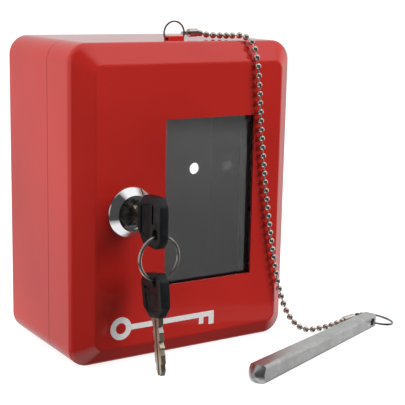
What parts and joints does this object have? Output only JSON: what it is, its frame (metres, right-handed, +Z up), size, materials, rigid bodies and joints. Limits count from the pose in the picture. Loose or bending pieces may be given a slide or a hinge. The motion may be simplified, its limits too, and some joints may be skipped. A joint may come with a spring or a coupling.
{
  "type": "emergency key box",
  "caption": "Red pressed-steel emergency key box with a glass-fronted hinged door, cam lock, two keys on a ring and a breaker bar on a ball chain.",
  "frame": {"origin": "middle of the box's underside: halfway across its width and halfway through its depth", "axes": "+Z up, the door faces -Y and the wall side faces +Y, +X towards the hinges"},
  "size_m": [0.1825, 0.1286, 0.1591],
  "materials": {
    "red_paint": "gloss red powder coat",
    "liner_paint": "satin dark primer",
    "zinc_steel": "zinc plated",
    "nickel_plate": "nickel plated wire",
    "window_glass": "clear, polished",
    "lock_chrome": "polished chrome plate",
    "lock_plug_metal": "satin",
    "key_metal": "nickel silver, milled",
    "key_plastic": "moulded black, fine grain",
    "chain_nickel": "nickel plated",
    "striker_steel": "fine ground"
  },
  "bodies": {
    "box": {"rear_box": "red_paint", "door_stop_frame": "liner_paint", "key_hook": "zinc_steel", "hinge_leaf_box_lower": "red_paint", "hinge_leaf_box_upper": "red_paint", "hinge_pin_lower": "zinc_steel", "hinge_pin_upper": "zinc_steel", "hinge_rivets_box": "zinc_steel"},
    "door": {"door_shell": "red_paint", "hinge_leaf_door_lower": "red_paint", "hinge_leaf_door_upper": "red_paint", "hinge_rivets_door": "zinc_steel", "glass_rail_left": "zinc_steel", "glass_rail_right": "zinc_steel", "glass_rail_bottom": "zinc_steel", "lock_body": "lock_chrome", "lock_washer": "zinc_steel", "lock_nut": "zinc_steel", "chain_anchor_ring": "nickel_plate", "chain_coupling_door": "nickel_plate", "ball_chain": "chain_nickel", "chain_coupling_striker": "nickel_plate", "striker_ring": "nickel_plate", "striker_bar": "striker_steel"},
    "glass": {"glass_pane": "window_glass"},
    "lock_plug": {"lock_plug": "lock_plug_metal", "lock_cam": "zinc_steel", "cam_washer": "zinc_steel", "cam_screw": "zinc_steel"},
    "key": {"key_blade": "key_metal", "key_bow": "key_plastic"},
    "key_ring": {"key_ring": "nickel_plate"},
    "spare_key": {"spare_key_blade": "key_metal", "spare_key_bow": "key_plastic"}
  },
  "joints": [
    {"name": "door_hinge", "type": "hinge", "parent": "box", "child": "door", "pos_m": [0.0622, -0.00735, 0.075], "axis": [0, 0, 1], "range_deg": [0, 110]},
    {"name": "lock_turn", "type": "hinge", "parent": "door", "child": "lock_plug", "pos_m": [-0.0326, -0.038, 0.0735], "axis": [0, 1, 0], "range_deg": [0, 90]},
    {"name": "key_withdraw", "type": "slide", "parent": "lock_plug", "child": "key", "axis": [0, -1, 0], "range_m": [0, 0.03]},
    {"name": "key_ring_swing", "type": "hinge", "parent": "key", "child": "key_ring", "pos_m": [-0.0326, -0.0639, 0.0676], "axis": [1, 0, 0], "range_deg": [-40, 8]},
    {"name": "spare_key_swing", "type": "hinge", "parent": "key_ring", "child": "spare_key", "pos_m": [-0.0326, -0.0639, 0.048], "axis": [1, 0, 0], "range_deg": [-40, 8]},
    {"name": "glass_slide", "type": "slide", "parent": "door", "child": "glass", "axis": [0, 0, 1], "range_m": [0, 0.018]}
  ]
}
